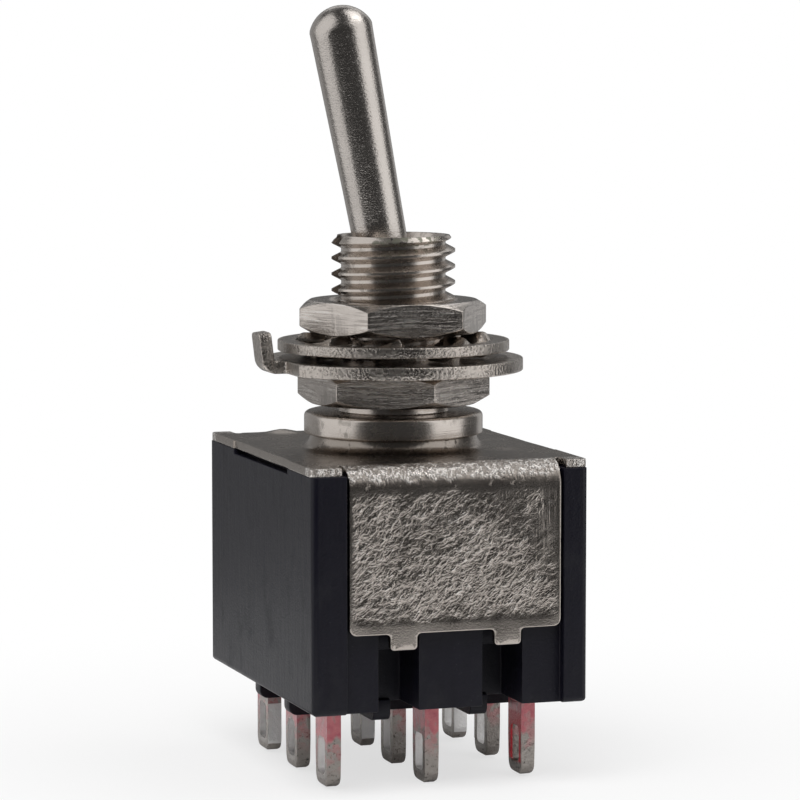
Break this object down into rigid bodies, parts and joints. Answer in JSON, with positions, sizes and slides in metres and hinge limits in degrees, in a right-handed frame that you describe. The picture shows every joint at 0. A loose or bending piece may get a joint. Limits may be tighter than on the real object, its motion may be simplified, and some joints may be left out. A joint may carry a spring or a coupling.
{
  "type": "panel toggle switch",
  "caption": "Miniature three-pole two-way toggle switch with a threaded panel bushing, metal bat lever, black case and solder lugs.",
  "frame": {"origin": "on the bushing axis, at the top face of the collar that meets the back of a panel", "axes": "+Z along the bushing towards the lever, X the way the lever throws, Y along the three poles"},
  "size_m": [0.0136, 0.017, 0.0364],
  "materials": {
    "case_plastic": "fine matt moulded black",
    "cover_steel": "nickel-plated sheet, pebbled flap",
    "bushing_nickel": "bright nickel plate",
    "nut_nickel": "nickel plate over machining marks",
    "washer_steel": "nickel-plated stamped steel",
    "lever_nickel": "bright nickel plate",
    "spring_steel": "spring wire",
    "plunger_nylon": "natural nylon",
    "rocker_bronze": "phosphor bronze strip",
    "contact_silver": "silver rivets",
    "terminal_tin": "tinned brass strip, dull",
    "sealant_red": "red potting sealant"
  },
  "bodies": {
    "housing": {"case": "case_plastic", "cover": "cover_steel", "bushing": "bushing_nickel", "lower_nut": "nut_nickel", "locating_washer": "washer_steel", "lock_washer": "washer_steel", "upper_nut": "nut_nickel", "common_front": "terminal_tin", "throw_left_front": "terminal_tin", "throw_right_front": "terminal_tin", "common_middle": "terminal_tin", "throw_left_middle": "terminal_tin", "throw_right_middle": "terminal_tin", "common_back": "terminal_tin", "throw_left_back": "terminal_tin", "throw_right_back": "terminal_tin", "fixed_contacts": "contact_silver", "lug_sealant": "sealant_red"},
    "lever": {"lever": "lever_nickel", "spring": "spring_steel"},
    "plunger": {"plunger": "plunger_nylon"},
    "front_rocker": {"rocker_front": "rocker_bronze", "moving_contacts_front": "contact_silver"},
    "middle_rocker": {"rocker_middle": "rocker_bronze", "moving_contacts_middle": "contact_silver"},
    "back_rocker": {"rocker_back": "rocker_bronze", "moving_contacts_back": "contact_silver"}
  },
  "joints": [
    {"name": "lever_throw", "type": "hinge", "parent": "housing", "child": "lever", "pos_m": [0, 0, 0.00477], "axis": [0, 1, 0], "range_deg": [0, 22]},
    {"name": "plunger_push", "type": "slide", "parent": "lever", "child": "plunger", "axis": [-0.1908, 0, 0.9816], "range_m": [0, 0.0005], "stiffness_N_per_m": 400, "springref_m": -0.0008, "deforming": ["spring"]},
    {"name": "front_rocker_tilt", "type": "hinge", "parent": "housing", "child": "front_rocker", "pos_m": [0, -0.0048, -0.00766], "axis": [0, 1, 0], "range_deg": [-17.6, 0]},
    {"name": "middle_rocker_tilt", "type": "hinge", "parent": "housing", "child": "middle_rocker", "pos_m": [0, 0, -0.00766], "axis": [0, 1, 0], "range_deg": [-17.6, 0]},
    {"name": "back_rocker_tilt", "type": "hinge", "parent": "housing", "child": "back_rocker", "pos_m": [0, 0.0048, -0.00766], "axis": [0, 1, 0], "range_deg": [-17.6, 0]}
  ],
  "couplings": [
    {"joint": "front_rocker_tilt", "follows": "lever_throw", "ratio": -0.8},
    {"joint": "middle_rocker_tilt", "follows": "lever_throw", "ratio": -0.8},
    {"joint": "back_rocker_tilt", "follows": "lever_throw", "ratio": -0.8}
  ]
}
